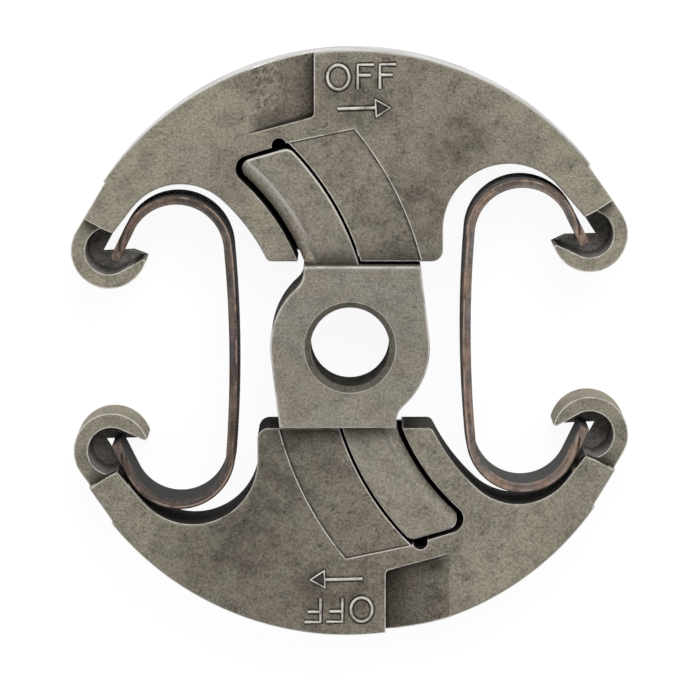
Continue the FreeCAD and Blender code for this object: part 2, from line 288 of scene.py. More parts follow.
def pressed_skin(point, warm, cool, contrast):
    """Return the colour, the roughness and the height of bare pressed steel."""
    clouds = rise(mottle(point, 9.0, detail=3.0), 0.36, 0.64)
    moss = rise(mottle(point, 3.2, detail=3.0, seed=(13.0, 29.0, 5.0)), 0.46, 0.68)
    patches = rise(mottle(point, 2.4, detail=4.0, rough=0.6, seed=(31.0, 7.0, 3.0)), 0.42, 0.68)
    flecks = rise(mottle(point, 0.8, detail=3.0, rough=0.6, seed=(3.0, 17.0, 21.0)), 0.55, 0.72)
    grain = rise(mottle(point, 0.30, rough=0.75, seed=(5.0, 43.0, 9.0)), 0.24, 0.76)
    colour = coat(0.35 * moss, coat(clouds, warm, cool), MOSS_GREY)
    shade = 0.90 * grain - 0.22 * patches - 0.32 * flecks
    colour = dim(colour, 0.68 + contrast * shade)
    roughness = 0.52 + 0.14 * grain + 0.08 * patches
    height = grain - 0.4 * flecks
    return colour, roughness, height


print("pressed steel has a skin of clouds, patches, flecks and grain")

# %% [markdown]
# Painted shade in the corners, painted light on the edges
#
# The pressing die leaves a small chamfer round each face. Handling keeps those chamfers bright and they
# catch the light, so we paint them pale, and it is these thin pale lines that make steel look like steel.
# Painted shade does the opposite: darker walls, a dark line beside each raised or sunk edge, and a soft
# painted shadow wherever a taller wall stands close by. The table is close by too, but it isn't steel, so
# what faces it gets no painted shade.

# %% Wear, painted shade and painted highlight on pressed steel
# A pale colour for edge wear and painted highlight, and a near black that is mostly painted shade, with some dust.
WEAR_AND_HIGHLIGHT_STEEL = (0.70, 0.67, 0.62, 1.0)
SHADE_AND_DUST_BLACK = (0.016, 0.014, 0.013, 1.0)
CREVICE_REACH = 0.5
SHELTER_REACH = 3.6
PALE_EDGE_REACH = 0.22


def slopes(tree):
    """Return 1 on chamfers and bevels, which lean by about 30 to 55 degrees."""
    return band(facing(tree)[2], 0.55, 0.88, 0.06)


def broken_edge(tree, up, level):
    """Return 1 on the small chamfer that breaks the edge of a face at this level, in millimetres."""
    return slopes(tree) * band(up, level - 0.30, level - 0.08, 0.04)


def walls(tree):
    """Return 1 on surfaces that stand upright and 0 on those that face up or down."""
    return 1.0 - rise(abs(facing(tree)[2]), 0.25, 0.75)


def painted_shade_and_edges(tree, point, colour, wall_shade, less_shade, lines, shine):
    """Paint shade on walls and in corners, less where less_shade; paint edges and lines pale, as wear and
    highlight.
    """
    # Painted shade on walls, held back where less_shade is 1.
    colour = dim(colour, 1.0 - wall_shade * walls(tree) * (1.0 - less_shade))
    # Painted shade in corners and beside taller walls, found by ambient occlusion; none on faces that look down at
    # the table.
    off_table = rise(facing(tree)[2], -0.8, -0.4)
    crevice = rise(closeness(tree, CREVICE_REACH, inside=False), 0.14, 0.50) * off_table
    shelter = rise(closeness(tree, SHELTER_REACH, inside=False), 0.06, 0.42) * off_table * (1.0 - less_shade)
    colour = coat(0.62 * crevice, coat(0.72 * shelter, colour, SHADE_AND_DUST_BLACK), SHADE_AND_DUST_BLACK)
    # Edges and lines painted pale, partly as wear and partly as highlight.
    chance = rise(mottle(point, 1.8, detail=3.0, seed=(7.0, 9.0, 41.0)), 0.30, 0.56)
    edge_wear_and_highlight = rise(closeness(tree, PALE_EDGE_REACH, inside=True), 0.10, 0.30) * (1.0 - crevice)
    return coat(shine * (0.35 + 0.65 * chance) * rise(edge_wear_and_highlight + lines, 0.0, 1.0), colour, WEAR_AND_HIGHLIGHT_STEEL)


# The pale edges are wear and painted highlight, and the dark corners are painted shade.
print("edges are rubbed within", PALE_EDGE_REACH, "mm and corners are dirty within", SHELTER_REACH, "mm")

# %% [markdown]
# The friction shoe, region by region
#
# A shoe shows several skins. Its faces are as pressed, browner with oil in the middle and paler towards
# the hooks. Its rim has been ground true and then polished by the drum. The ramp pocket was formed by a
# blunt punch and gets painted shade at its deep end and along its low side. A thin ridge runs round the
# sunk pad, painted as a pale line of wear and highlight, with painted shade on its inner side. Cutting the
# mesh into patches would leave hard borders, so masks worked out from a point's own place keep each skin
# where it belongs. The main sizes are read from the imported model, and the rest repeat its drawing.

# %% Sizes of a shoe
mounts = {mount["name"]: mount for mount in frame["record"]["mounts"]}
slide = next(joint for joint in frame["joints"] if joint["child"] == "upper_shoe")
travel = slide["range_m"][1] / MM
# At rest a rim's centre lies one travel short of the bore axis.
RIM_CENTRE = tuple(round(-travel * part, 3) for part in slide["axis"])
RIM_RADIUS = mounts["drum_rims"]["dims"]["r_mm"]
SHOE_HEIGHT = round(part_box("upper_shoe")[1].z / MM, 3)
GUIDE_CENTRE = (-30.0, 0.0, 0.0)
print("a shoe has a rim of", RIM_RADIUS, "mm and is", SHOE_HEIGHT, "mm high")

# %% Masks for the sunk pad
PAD_RADIUS = 39.43
PAD_CORNER = (-7.118, 23.403)
PAD_LEAN = math.radians(11.8)
SLOT_RADIUS = 32.73
RIDGE_WIDTH = 0.12
RIDGE_FADES = (13.5, 19.0)


def pad_lines(point):
    """Return masks of the pale ridge round the sunk pad and of the painted shade on its inner side."""
    across, along, up = parts_of(point)
    reach = distance_from(point, GUIDE_CENTRE)
    beyond = (along - PAD_CORNER[1]) * math.cos(PAD_LEAN) - (across - PAD_CORNER[0]) * math.sin(PAD_LEAN)
    on_face = rise(up, SHOE_HEIGHT - 0.3, SHOE_HEIGHT - 0.2)
    beside = rise(beyond, 0.1, 0.0) * on_face
    above = band(reach, SLOT_RADIUS, PAD_RADIUS, 0.1) * on_face
    fading = 0.30 + 0.70 * rise(along, *RIDGE_FADES)
    # The ridge is a pale line of wear and painted highlight, fainter towards the bore.
    ridge = band(reach, PAD_RADIUS, PAD_RADIUS + RIDGE_WIDTH, 0.05) * beside * fading
    ridge = ridge + band(beyond, 0.0, RIDGE_WIDTH, 0.05) * above
    breaks = rise(mottle(point, 0.6, seed=(23.0, 3.0, 7.0)), 0.34, 0.58)
    blots = rise(mottle(point, 1.5, detail=3.0, seed=(61.0, 3.0, 7.0)), 0.38, 0.62)
    # Painted shade: a mottled dark line along the inner side of the pad's edge.
    inner_shade = band(reach, PAD_RADIUS - 0.30, PAD_RADIUS - 0.02, 0.12) * beside * (0.25 + 0.75 * blots)
    inner_shade = inner_shade + 0.7 * band(beyond, -0.22, -0.02, 0.08) * above
    return ridge * (0.3 + 0.7 * breaks), inner_shade


print("the ridge round the pad is", RIDGE_WIDTH, "mm wide")

# %% Masks for the ramp pocket
POCKET_WALL = -4.14
POCKET_START = -11.64
POCKET_FOOT = 24.9
POCKET_SLOPE = 0.27


def pocket_masks(tree, point):
    """Return masks of the ramp pocket, of its deeper part, of its sides with painted shade and of its soft rims.
    """
    across, along, up = parts_of(point)
    from_low_edge = along - (POCKET_FOOT + POCKET_SLOPE * (across - POCKET_START))
    pocket = rise(across, POCKET_START, POCKET_START + 0.2) * rise(across, POCKET_WALL + 0.2, POCKET_WALL)
    pocket = pocket * rise(from_low_edge, -0.3, 0.1) * rise(facing(tree)[2], 0.5, 0.8)
    deeper = pocket * rise(up, SHOE_HEIGHT - 0.01, SHOE_HEIGHT - 0.5)
    right_side = rise(across, POCKET_WALL - 6.4, POCKET_WALL - 1.9)
    low_side = rise(from_low_edge, 2.4, 0.6) * (1.0 - right_side)
    start = band(across, POCKET_START, POCKET_START + 0.1, 0.5)
    start = start * rise(along, POCKET_FOOT - 0.1, POCKET_FOOT + 0.7)
    start = start * rise(up, SHOE_HEIGHT - 0.4, SHOE_HEIGHT - 0.2)
    low_rim = band(across, POCKET_START - 1.0, POCKET_WALL - 1.2, 0.4)
    low_rim = band(from_low_edge, -0.7, 0.7, 0.2) * low_rim
    return pocket, deeper, right_side, low_side, start, low_rim


print("the pocket is", round(POCKET_WALL - POCKET_START, 2), "mm long")

# %% Masks for the hooks and for stains
LEFT_HOOK = (-27.91, 10.72, 0.0)
RIGHT_HOOK = (27.74, 12.67, 0.0)
RING_RADIUS = 4.4
CUP_RADIUS = 2.75
RING_FACE = 8.3


def hook_masks(tree, point):
    """Return masks of the two hook rings' outer walls, of their cups and of the whole hooks."""
    sunk = rise(parts_of(point)[2], RING_FACE - 0.2, RING_FACE - 0.5)
    reaches = [distance_from(point, centre) for centre in (LEFT_HOOK, RIGHT_HOOK)]
    outside = sum(band(reach, RING_RADIUS - 0.3, RING_RADIUS + 0.3, 0.1) for reach in reaches)
    cups = sum(rise(reach, CUP_RADIUS + 0.9, CUP_RADIUS + 0.2) for reach in reaches)
    hooks = sum(rise(reach, RING_RADIUS + 0.6, RING_RADIUS + 0.4) for reach in reaches)
    return outside * walls(tree), cups * sunk, hooks


def stain(point, centre, size):
    """Return a soft oval mask on the face, for a stain of this half width and half height."""
    spot = stretch(shift(point, (-centre[0], -centre[1], 0.0)), (1.0 / size[0], 1.0 / size[1], 0.0))
    return rise(distance_from(spot, (0.0, 0.0, 0.0)), 1.0, 0.35)


print("each hook is a ring of", RING_RADIUS, "mm with a cup of", CUP_RADIUS, "mm")

# %% [markdown]
# The shoe's coats
#
# We lay the skins like coats of paint, from the widest to the smallest. First comes the face: brown in the
# middle, straw pale at the two ends, and pale again on the finger beside the slot and in front of the
# pocket, where handling wears it. Then the pocket gets painted shade, oil goes on, painted shade goes along
# the pad's edge, dust and painted shade go round the signs, and the arrow is darkened. Each coat has a
# function of its own, which takes the colour so far and returns the next.

# %% The faces
SHOE_BROWN = (0.204, 0.175, 0.139, 1.0)
SHOE_GREY = (0.198, 0.177, 0.144, 1.0)
SHOE_STRAW = (0.280, 0.256, 0.198, 1.0)
PALE_ENDS = (14.0, 27.0)
TILT_FADES = (25.0, 19.0)
FINGER = ((-10.0, 13.2), (5.0, 7.0))
POCKET_APPROACH = ((-15.5, 26.5), (7.0, 6.0))


def shoe_face(own_point, point, level, tilt):
    """Return the colour, the roughness and the height of a shoe's faces."""
    across = parts_of(own_point)[0]
    straw = scaled(SHOE_STRAW, level)
    pale = pressed_skin(point, straw, straw, 0.8)[0]
    brown = scaled(SHOE_BROWN, level)
    grey = scaled(SHOE_GREY, level)
    colour, roughness, height = pressed_skin(point, brown, grey, 1.0)
    wavy = abs(across) + 5.0 * mottle(point, 6.0, detail=3.0, seed=(2.0, 5.0, 3.0))
    colour = coat(0.9 * rise(wavy, *PALE_ENDS), colour, pale)
    paled = 0.8 * stain(own_point, *FINGER) + 0.7 * stain(own_point, *POCKET_APPROACH)
    colour = coat(paled, colour, pale)
    colour = dim(colour, 1.0 + tilt * across * rise(abs(across), *TILT_FADES))
    return colour, roughness, height


print("a shoe pales from", PALE_ENDS[0], "to", PALE_ENDS[1], "mm from its middle")

# %% The pocket, the oil and the dirt
OIL_STAINS = (((1.8, 28.4), (7.5, 5.0)), ((9.0, 14.0), (9.0, 9.0)), ((12.5, 23.5), (6.0, 4.5)))
# A darker patch round the arrow head.
ARROW_DARK_PATCH = ((3.55, 27.41), (1.5, 1.3))


def shoe_pocket(tree, own_point, colour, spots, speckle, shade):
    """Speckle the pocket and paint shade in it; return the colour and masks of its deeper part and its rims."""
    pocket, deeper, right_side, low_side, start, low_rim = pocket_masks(tree, own_point)
    speckled = speckle * (spots * (1.0 - right_side - low_side) - 0.48)
    # Painted shade at the deep end beside the wall, and along the low side.
    deep_end = (0.42 - 0.45 * shade) * right_side
    colour = dim(colour, 1.0 - deeper * (speckled + deep_end + 0.78 * low_side))
    return dim(colour, 1.0 - shade * pocket), deeper, start, low_rim


def shoe_oil_and_shade(own_point, point, colour, pad_shade, sign_foot):
    """Lay oil, painted shade along the pad, dust and painted shade round the signs, and darken the arrow."""
    oil = rise(mottle(point, 1.9, detail=4.0, rough=0.65, seed=(19.0, 8.0, 3.0)), 0.36, 0.62)
    darker_patches = sum(stain(own_point, centre, size) for centre, size in OIL_STAINS)
    colour = dim(colour, 1.0 - rise(darker_patches, 0.0, 1.0) * (0.06 + 0.30 * oil))
    # Painted shade: the dark line along the inner side of the pad's edge.
    colour = coat(0.60 * pad_shade, colour, SHADE_AND_DUST_BLACK)
    # Dust and painted shade on the low feet round the signs.
    colour = coat(sign_foot * (0.25 + 0.60 * oil), colour, SHADE_AND_DUST_BLACK)
    # The arrow head and its surround are darker.
    return coat(0.7 * stain(own_point, *ARROW_DARK_PATCH), colour, SHADE_AND_DUST_BLACK)


print("each shoe has", len(OIL_STAINS), "large stains of oil")

# %% The ground rim
GROUND_DARK = (0.50, 0.49, 0.47, 1.0)
GROUND_LIGHT = (0.70, 0.69, 0.67, 1.0)
DRUM_GLAZE = (0.36, 0.33, 0.29, 1.0)
STREAK_STRETCH = (0.10, 0.10, 3.4)


def ground_rim(own_point, point, hooks):
    """Return a mask of the rim, its colour and its own roughness, with streaks along the grinding."""
    reach = distance_from(own_point, RIM_CENTRE)
    rim = rise(reach, RIM_RADIUS - 0.14, RIM_RADIUS - 0.06) * (1.0 - hooks)
    streaks = rise(mottle(stretch(point, STREAK_STRETCH), 1.0, detail=3.0), 0.30, 0.70)
    glaze = rise(mottle(point, 5.0, detail=4.0, rough=0.6, seed=(3.0, 1.0, 37.0)), 0.40, 0.66)
    ground = coat(streaks, GROUND_DARK, GROUND_LIGHT)
    return rim, coat(0.5 * glaze, ground, DRUM_GLAZE), 0.06 * streaks + 0.12 * glaze


print("the rim is streaked along the grinding and glazed by the drum")

# %% [markdown]
# Both shoes from one recipe
#
# The shoes come from one die, so one function makes both finishes, and a few numbers tell them apart. The
# lower one is painted darker, as shade further from the top light; it is lighter to one side and more evenly
# dark in its pocket. Walls of raw pressing hardly mirror anything, so there the metal is turned down.

# %% Finish of the friction shoes
# The cups' floors are painted pale, as light in the deep cups.
CUP_PAINTED_PALE = (0.54, 0.51, 0.48, 1.0)
# The shoes' walls get painted shade.
SHOE_WALL_SHADE = 0.62
SHOE_GRAIN_DEPTH = 0.03
EDGE_ROUNDING = 0.12


def shoe_finish(name, turned, drift, level, tilt, speckle, pocket_shade):
    """Return a shoe's finish: drift moves its patterns, level and tilt set its lightness along it,
    speckle is the contrast of its pocket and pocket_shade how much darker that is than the face."""
    material, tree = blank_finish(name)
    own_point = place(tree, turned)
    point = shift(own_point, drift)
    up = parts_of(own_point)[2]
    spots = rise(mottle(point, 0.55, detail=3.0, rough=0.7, seed=(11.0, 2.0, 5.0)), 0.40, 0.62)
    raised = rise(up, SHOE_HEIGHT + 0.05, SHOE_HEIGHT + 0.13)
    # The low foot round each sign, which gets dust and painted shade.
    sign_foot = rise(up, SHOE_HEIGHT + 0.0004, SHOE_HEIGHT + 0.002) * (1.0 - raised)
    ridge, pad_shade = pad_lines(own_point)
    ring_wall, cups, hooks = hook_masks(tree, own_point)

    colour, roughness, height = shoe_face(own_point, point, level, tilt)
    colour, deeper, start, low_rim = shoe_pocket(tree, own_point, colour, spots, speckle, pocket_shade)
    colour = shoe_oil_and_shade(own_point, point, colour, pad_shade, sign_foot)
    # Painted light: the cups' floors are painted pale and the rings' outer walls lighter.
    colour = coat(cups, dim(colour, 1.0 + 0.8 * ring_wall), CUP_PAINTED_PALE)
    colour = dim(colour, 1.0 - 0.4 * cups * spots)
    # Pale lines of wear and painted highlight: the chamfers, the pad's ridge, the pocket's start and the signs'
    # tops.
    lines = 0.8 * broken_edge(tree, up, SHOE_HEIGHT) + 0.6 * ridge + 0.3 * start + raised
    # The ring walls, the cups and the deeper pocket get less painted shade.
    less_shade = ring_wall + 0.9 * cups + 0.85 * deeper
    shine = 0.85 * (1.0 - sign_foot) * (1.0 - 0.5 * low_rim)
    colour = painted_shade_and_edges(tree, point, colour, SHOE_WALL_SHADE, less_shade, lines, shine)

    rim, rim_colour, rim_roughness = ground_rim(own_point, point, hooks)
    colour = coat(rim, colour, rim_colour)
    upright = walls(tree) * (1.0 - rim)
    roughness = roughness * (1.0 - 0.55 * rim) + rim * rim_roughness + 0.3 * upright
    metallic = (0.5 + 0.5 * rim - 0.5 * upright) * (1.0 - cups)
    direction = relief(height, SHOE_GRAIN_DEPTH, rounded(tree, EDGE_ROUNDING))
    steel(name, tree, colour, roughness, metallic, direction)
    return material


upper_shoe_steel = shoe_finish(
    "upper_shoe_steel", turned=False, drift=(0.0, 0.0, 0.0),
    level=1.0, tilt=0.0, speckle=0.74, pocket_shade=0.0,
)
# The lower shoe is a shaded copy: its lower level paints it darker, as shade further from the top light.
lower_shoe_steel = shoe_finish(
    "lower_shoe_steel", turned=True, drift=(57.0, 23.0, 4.0),
    level=0.88, tilt=-0.009, speckle=0.46, pocket_shade=0.30,
)

# %% [markdown]
# The hub and its arms
#
# The hub is pressed from the same powder, but its faces look calmer and greener, and its edges are painted
# brighter, as wear from the shoes that slide along the arms and as highlight. The sloped sides of the arms
# get painted light, the upper one most, and that one turns darker brown towards its foot; the ridge above it
# gets a painted highlight. The lower half of the hub is painted a little lighter too. The bore gets painted
# shade, darkest on its lower side, and the mouth of its chamfer gets a painted highlight.

# %% Masks for the hub
BLOCK_HEIGHT = round(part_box("hub")[1].z / MM, 3)
BORE_AXIS = (0.0, 0.0, 0.0)
LEAD_RADIUS = 5.25
ARM_ROOT = 10.5
ARM_MIDDLE = 16.0


def bore_masks(point):
    """Return masks of the bore, of its wall below the chamfer and of the chamfer's mouth."""
    up = parts_of(point)[2]
    from_axis = distance_from(point, BORE_AXIS)
    in_bore = rise(from_axis, LEAD_RADIUS + 0.05, LEAD_RADIUS - 0.05)
    deep = in_bore * rise(up, BLOCK_HEIGHT - 0.6, BLOCK_HEIGHT - 0.9)
    mouth = band(from_axis, LEAD_RADIUS - 0.03, LEAD_RADIUS + 0.09, 0.03)
    return in_bore, deep, mouth * rise(up, BLOCK_HEIGHT - 0.2, BLOCK_HEIGHT)


def hub_edges(tree, point, upper_arm):
    """Return the hub's broken edges, softer beside the arms' bevels but not on the upper arm's end."""
    along, up = parts_of(point)[1:]
    soft = rise(abs(along), ARM_MIDDLE, ARM_ROOT) * upper_arm * rise(facing(tree)[0], -0.15, -0.4)
    soft = soft + (1.0 - upper_arm) * rise(facing(tree)[0], 0.15, 0.4)
    arm_edges = broken_edge(tree, up, SHOE_HEIGHT) * (1.0 - 0.5 * soft)
    return arm_edges + broken_edge(tree, up, BLOCK_HEIGHT)


print("the block is", BLOCK_HEIGHT, "mm high, with a chamfer of", LEAD_RADIUS, "mm radius at its bore")

# %% Finish of the hub
HUB_WARM = (0.233, 0.206, 0.168, 1.0)
HUB_COOL = (0.238, 0.219, 0.184, 1.0)
# The colour of the darker foot of the upper arm's slope.
LOWER_BEVEL_BROWN = (0.17, 0.135, 0.10, 1.0)
HUB_DRIFT = (17.0, 71.0, 8.0)
# The hub's walls get painted shade.
HUB_WALL_SHADE = 0.50
HUB_GRAIN_DEPTH = 0.02


def hub_finish(name):
    """Return the finish of the hub."""
    material, tree = blank_finish(name)
    own_point = place(tree, False)
    point = shift(own_point, HUB_DRIFT)
    along, up = parts_of(own_point)[1:]
    in_bore, deep, mouth = bore_masks(own_point)
    upper_arm = rise(along, -1.0, 1.0)
    bevel = slopes(tree) * rise(up, SHOE_HEIGHT - 0.2, SHOE_HEIGHT - 0.45) * (1.0 - in_bore)
    darker_patches = bevel * rise(up, SHOE_HEIGHT - 0.7, SHOE_HEIGHT - 1.6) * upper_arm
    ridge = slopes(tree) * band(up, SHOE_HEIGHT - 0.42, SHOE_HEIGHT + 0.1, 0.06)
    ridge = ridge * rise(along, ARM_ROOT, ARM_MIDDLE)
    upright = walls(tree)
    shoulder = upright * rise(up, SHOE_HEIGHT + 0.1, SHOE_HEIGHT + 0.5) * (1.0 - in_bore)
    # Pale lines of wear and painted highlight on the broken edges, and a painted highlight on the bore's mouth.
    lines = 0.8 * hub_edges(tree, own_point, upper_arm) * (1.0 - in_bore) + 0.3 * mouth

    colour, roughness, height = pressed_skin(point, HUB_WARM, HUB_COOL, 0.75)
    # Painted light: the arms' sloped sides are lighter, the upper one most.
    colour = dim(colour, 1.0 + bevel * (0.75 + 0.75 * upper_arm))
    # The upper arm's slope turns darker brown towards its foot.
    colour = coat(0.5 * darker_patches, colour, LOWER_BEVEL_BROWN)
    # Painted light: the lower half of the hub is a little lighter.
    colour = dim(colour, 1.0 + 0.12 * rise(along, 0.0, -10.0))
    # Painted shade on walls and in corners, and edges painted pale as wear and highlight.
    colour = painted_shade_and_edges(tree, point, colour, HUB_WALL_SHADE, bevel + 0.8 * shoulder, lines, 1.0)
    # Painted highlight on the ridge above the upper arm's slope.
    colour = coat(0.95 * ridge, colour, WEAR_AND_HIGHLIGHT_STEEL)
    # Painted shade in the bore, darkest on its lower side.
    colour = dim(colour, 1.0 - in_bore * (0.26 - 0.03 * along) - 0.40 * deep)
    roughness = roughness - 0.04 + 0.3 * upright
    direction = relief(height, HUB_GRAIN_DEPTH, rounded(tree, EDGE_ROUNDING))
    steel(name, tree, colour, roughness, 0.5 - 0.5 * upright, direction)
    return material


hub_steel = hub_finish("hub_steel")

# %% [markdown]
# Tempered spring strip
#
# The springs are bent from flat strip that was blued in an oven after bending. The wide sides went dark
# grey with faint lines along the rolling direction; the slit edges kept a coppery brown. The direction a
# surface faces tells the two apart, since the slit edges are the ones that face up and down. The streaks
# on a slit edge follow the bends, so they need the distance from the strip's own middle line.

# %% Along and across the strip
UPPER_BEND = (-20.04, 10.72, 0.0)
LOWER_BEND = (-19.87, -12.67, 0.0)
BEND_RADIUS = 6.05
BACK_MIDDLE = (-13.93, -0.97)
BACK_BOW = 0.5


def strip_offset(point):
    """Return how far a point lies outside the strip's middle line, in millimetres."""
    across, along = parts_of(point)[:2]
    from_middle = (along - BACK_MIDDLE[1]) * (1.0 / (UPPER_BEND[1] - BACK_MIDDLE[1]))
    back = across - BACK_MIDDLE[0] - BACK_BOW * (1.0 - from_middle * from_middle)
    upper = distance_from(point, UPPER_BEND) - BEND_RADIUS
    lower = distance_from(point, LOWER_BEND) - BEND_RADIUS
    past_upper = rise(along, UPPER_BEND[1] - 0.1, UPPER_BEND[1] + 0.1)
    past_lower = rise(along, LOWER_BEND[1] + 0.1, LOWER_BEND[1] - 0.1)
    return past_upper * upper + past_lower * lower + (1.0 - past_upper - past_lower) * back


print("a strip has two bends of", BEND_RADIUS, "mm and a back that bows by", BACK_BOW, "mm")

# %% The sides and the slit edges
SIDE_DULL = (0.040, 0.040, 0.038, 1.0)
SIDE_BARE = (0.125, 0.122, 0.117, 1.0)
EDGE_COPPER = (0.165, 0.117, 0.092, 1.0)
EDGE_UMBER = (0.111, 0.096, 0.090, 1.0)
# A pale copper for the slit edges' wear and painted highlight.
COPPER_WEAR_AND_HIGHLIGHT = (0.46, 0.32, 0.24, 1.0)
ROLLING_STRETCH = (0.15, 0.15, 5.0)


def strip_side(offset, lines, level, outer_level):
    """Return the colour of the wide sides, of which the outer one gets painted light by outer_level."""
    blued = coat(lines, scaled(SIDE_DULL, level), scaled(SIDE_BARE, level))
    # Painted light: the outer side is made lighter by outer_level.
    return dim(blued, 1.0 + (outer_level - 1.0) * rise(offset, 0.0, 0.3))


def strip_edge(point, offset, heat, patches, level):
    """Return the colour of the slit edges, streaked along the strip, with painted shade along the outer edge."""
    across, along = parts_of(point)[:2]
    along_strip = {0: 3.2 * offset, 1: 0.15 * along, 2: 0.15 * across}
    drawn = Wire.node(offset.tree, "ShaderNodeCombineXYZ", {}, along_strip)
    streaks = rise(mottle(drawn, 1.0), 0.30, 0.70)
    tempered = coat(heat, scaled(EDGE_COPPER, level), scaled(EDGE_UMBER, level))
    edge = dim(tempered, 0.45 + 0.65 * streaks + 0.35 * patches)
    # Painted shade: a dark line along the outer edge of each slit edge.
    outer_edge_shade = band(offset, 0.41, 0.70, 0.05)
    return dim(edge, 1.0 - 0.65 * outer_edge_shade)


print("a strip has blued sides and coppery slit edges")

# %% Finish of the springs
STRIP_GRAIN_DEPTH = 0.012
STRIP_ROUNDING = 0.16


def strip_finish(name, turned, drift, level, outer_level):
    """Return the finish of one strip spring; level sets its lightness, outer_level the painted light on its outer
    side.
    """
    material, tree = blank_finish(name)
    own_point = place(tree, turned)
    point = shift(own_point, drift)
    offset = strip_offset(own_point)
    slit_edge = rise(abs(facing(tree)[2]), 0.45, 0.75)
    lines = mottle(stretch(point, ROLLING_STRETCH), 1.0, detail=3.0)
    heat = rise(mottle(point, 4.0, detail=3.0), 0.36, 0.64)
    patches = rise(mottle(point, 1.4, detail=3.0, seed=(4.0, 7.0, 1.0)), 0.30, 0.70)
    grain = rise(mottle(point, 0.28, rough=0.7, seed=(9.0, 4.0, 2.0)), 0.22, 0.78)

    side = strip_side(offset, lines, level, outer_level)
    edge = strip_edge(point, offset, heat, patches, level)
    colour = dim(coat(slit_edge, side, edge), 0.70 + 0.55 * grain)
    # A coppery band along the slit edges, partly wear and partly painted highlight.
    paled = band(offset, 0.20, 0.34, 0.05) * rise(heat + patches, 0.7, 1.3) * slit_edge
    colour = coat(0.55 * paled, colour, COPPER_WEAR_AND_HIGHLIGHT)
    roughness = 0.70 - 0.30 * slit_edge + 0.16 * grain + 0.08 * lines
    direction = relief(0.6 * grain + 0.6 * lines, STRIP_GRAIN_DEPTH, rounded(tree, STRIP_ROUNDING))
    steel(name, tree, colour, roughness, 0.75 * slit_edge, direction)
    return material


# Both springs' outer sides get painted light, the right one's most.
left_strip = strip_finish(
    "left_spring_steel", turned=False, drift=(0.0, 0.0, 0.0), level=0.76, outer_level=1.2
)
right_strip = strip_finish(
    "right_spring_steel", turned=True, drift=(13.0, 29.0, 6.0), level=1.32, outer_level=2.6
)

# %% Give each CAD piece its finish
finishes = {
    "hub": hub_steel,
    "upper_shoe": upper_shoe_steel,
    "lower_shoe": lower_shoe_steel,
    "left_spring": left_strip,
    "right_spring": right_strip,
}
for node_name, finish in finishes.items():
    nodes[node_name].data.materials.clear()
    nodes[node_name].data.materials.append(finish)
    print(node_name, "wears", finish.name)

# %% [markdown]
# The thread in the bore
#
# The hub screws onto the engine shaft with a fine left-hand thread, M10 with a pitch of 1 mm. CAD leaves
# it out, because its many small faces slow everything down and no test needs them. A bump would look flat
# from the side, so we copy the hub, take out the plain wall of its bore and weave a grooved wall between
# the two rims that are left. The grooves go into the steel, so the hole stays as wide as it was.

# %% Copy the hub and open its bore
BORE_RADIUS = mounts["shaft_thread"]["dims"]["r_mm"]
WALL_TOLERANCE = 0.06
WALL_LEAN = 0.1
WELD_DISTANCE = 0.001


def off_axis(point):
    """Return a point's distance from the bore axis in millimetres."""
    return math.hypot(point.x, point.y) / MM


def is_bore_wall(face):
    """Tell whether a face belongs to the upright wall of the bore."""
    furthest = max(off_axis(corner.co) for corner in face.verts)
    return abs(face.normal.z) < WALL_LEAN and furthest < BORE_RADIUS + WALL_TOLERANCE


work = bmesh.new()
work.from_mesh(nodes["hub"].data)
bmesh.ops.remove_doubles(work, verts=work.verts, dist=WELD_DISTANCE * MM)
bore_wall = [face for face in work.faces if is_bore_wall(face)]
bmesh.ops.delete(work, geom=bore_wall, context="FACES")
open_edges = [edge for edge in work.edges if len(edge.link_faces) == 1]
rim_points = {corner for edge in open_edges for corner in edge.verts}
rim_points = sorted(rim_points, key=lambda corner: math.atan2(corner.co.y, corner.co.x))
middle = sum(corner.co.z for corner in rim_points) / len(rim_points)
low_rim = [corner for corner in rim_points if corner.co.z < middle]
high_rim = [corner for corner in rim_points if corner.co.z > middle]
print("bore wall had", len(bore_wall), "faces; its rims have", len(low_rim), "and", len(high_rim), "points")

# %% Weave the grooved wall
PITCH = 1.0
GROOVE_DEPTH = 0.5
ROWS_PER_TURN = 16
RUN_OUT = 0.5
CREST_FROM_ROOT = 0.375
FLANK_WIDTH = 0.3125


def groove(share):
    """Return the depth, from 0 at a crest to 1 in a root, at a share of one pitch."""
    from_root = abs(share - 0.5)
    return min(1.0, max(0.0, (CREST_FROM_ROOT - from_root) / FLANK_WIDTH))


low_level = low_rim[0].co.z / MM
high_level = high_rim[0].co.z / MM
row_count = round((high_level - low_level) / PITCH * ROWS_PER_TURN)
rows = [low_rim]
for step in range(1, row_count):
    level = low_level + (high_level - low_level) * step / row_count
    fade = min(1.0, (level - low_level) / RUN_OUT, (high_level - level) / RUN_OUT)
    row = []
    for corner in low_rim:
        angle = math.atan2(corner.co.y, corner.co.x)
        share = (level / PITCH + angle / math.tau) % 1.0
        radius = off_axis(corner.co) + GROOVE_DEPTH * fade * groove(share)
        spot = (radius * MM * math.cos(angle), radius * MM * math.sin(angle), level * MM)
        row.append(work.verts.new(spot))
    rows.append(row)
rows.append(high_rim)
for below, above in zip(rows, rows[1:]):
    for here in range(len(below)):
        there = (here + 1) % len(below)
        work.faces.new((below[there], below[here], above[here], above[there]))
print("grooved wall:", len(rows), "rows of", len(low_rim), "points")

# %% Put the threaded hub in the plain one's place
SHARP_ANGLE = math.radians(28.0)

work.normal_update()
hub_mesh = bpy.data.meshes.new("threaded_hub")
work.to_mesh(hub_mesh)
work.free()
